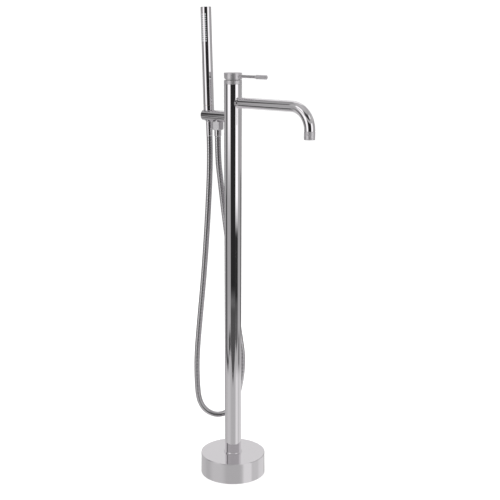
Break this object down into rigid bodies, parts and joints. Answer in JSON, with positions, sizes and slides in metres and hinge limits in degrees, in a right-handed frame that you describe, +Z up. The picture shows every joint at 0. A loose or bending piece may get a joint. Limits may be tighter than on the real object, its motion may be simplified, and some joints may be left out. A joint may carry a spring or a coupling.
{
  "type": "floor standing bath filler",
  "caption": "Floor standing bath filler: round column on a drum foot, lever on top, bent spout, and a stick handset in a holder arm with a metal hose.",
  "frame": {"origin": "on the floor, in the middle of the floor flange and of its circle of bolts", "axes": "+Z up along the column, +X towards the spout, the holder arm along -X"},
  "size_m": [0.3283, 0.156, 1.1037],
  "materials": {
    "polished_chrome": "mirror polished chrome plate",
    "satin_chrome": "chrome plate over a fine turned or knurled surface",
    "hose_chrome": "interlocked chromed strip",
    "brass": "machined brass",
    "stainless": "brushed stainless steel",
    "copper": "drawn copper tube",
    "white_plastic": "moulded",
    "grey_plastic": "moulded",
    "black_rubber": "moulded",
    "clear_silicone": "soft silicone"
  },
  "bodies": {
    "stand": {"floor_flange": "stainless", "column_clamp_screws": "stainless", "base_cover": "polished_chrome", "foot_collar": "polished_chrome", "inlet_block": "brass", "inlet_check_valves": "white_plastic", "inlet_filter_washers": "black_rubber", "column_tube": "polished_chrome", "hot_riser": "copper", "cold_riser": "copper", "valve_body": "brass", "cartridge_housing": "white_plastic", "cartridge_nut": "brass", "head_ring": "satin_chrome", "spout_tube": "polished_chrome", "spout_nipple": "brass", "spout_collar": "polished_chrome", "outlet_ring": "satin_chrome", "aerator_insert": "grey_plastic", "aerator_washer": "black_rubber", "diverter_bonnet": "polished_chrome", "diverter_cartridge": "brass", "holder_arm": "polished_chrome", "holder_bush": "grey_plastic", "arm_nipple": "brass", "outlet_nipple": "polished_chrome", "hose_washer": "black_rubber", "hose_nut": "polished_chrome", "outlet_hose_sleeve": "polished_chrome", "shower_hose": "hose_chrome"},
    "lever_turret": {"cartridge_turret": "white_plastic", "turret_pin": "stainless"},
    "lever": {"lever_stem": "stainless", "lever_cap": "satin_chrome", "lever_grub_screw": "stainless", "lever_rod": "polished_chrome", "lever_grip": "satin_chrome"},
    "diverter": {"diverter_spindle": "brass", "diverter_knob": "polished_chrome"},
    "hose_end": {"handset_hose_sleeve": "satin_chrome"},
    "handset": {"cone_nut": "polished_chrome", "cone_washer": "black_rubber", "handset_connector": "brass", "handset_tube": "polished_chrome", "handset_end_cap": "polished_chrome", "spray_plate": "polished_chrome", "nozzle_mat": "clear_silicone"}
  },
  "joints": [
    {"name": "lever_turn", "type": "hinge", "parent": "stand", "child": "lever_turret", "pos_m": [0, 0, 0.934], "axis": [0, 0, 1], "range_deg": [-45, 45]},
    {"name": "lever_lift", "type": "hinge", "parent": "lever_turret", "child": "lever", "pos_m": [0, 0, 0.934], "axis": [0, -1, 0], "range_deg": [0, 15]},
    {"name": "diverter_turn", "type": "hinge", "parent": "stand", "child": "diverter", "pos_m": [0, 0.03, 0.894], "axis": [0, 1, 0], "range_deg": [0, 90]},
    {"name": "handset_lift", "type": "slide", "parent": "stand", "child": "hose_end", "axis": [-0.0314, 0, 0.9995], "range_m": [0, 0.08]},
    {"name": "handset_turn", "type": "hinge", "parent": "hose_end", "child": "handset", "pos_m": [-0.0732, 0, 0.8645], "axis": [-0.0314, 0, 0.9995], "continuous": true}
  ]
}
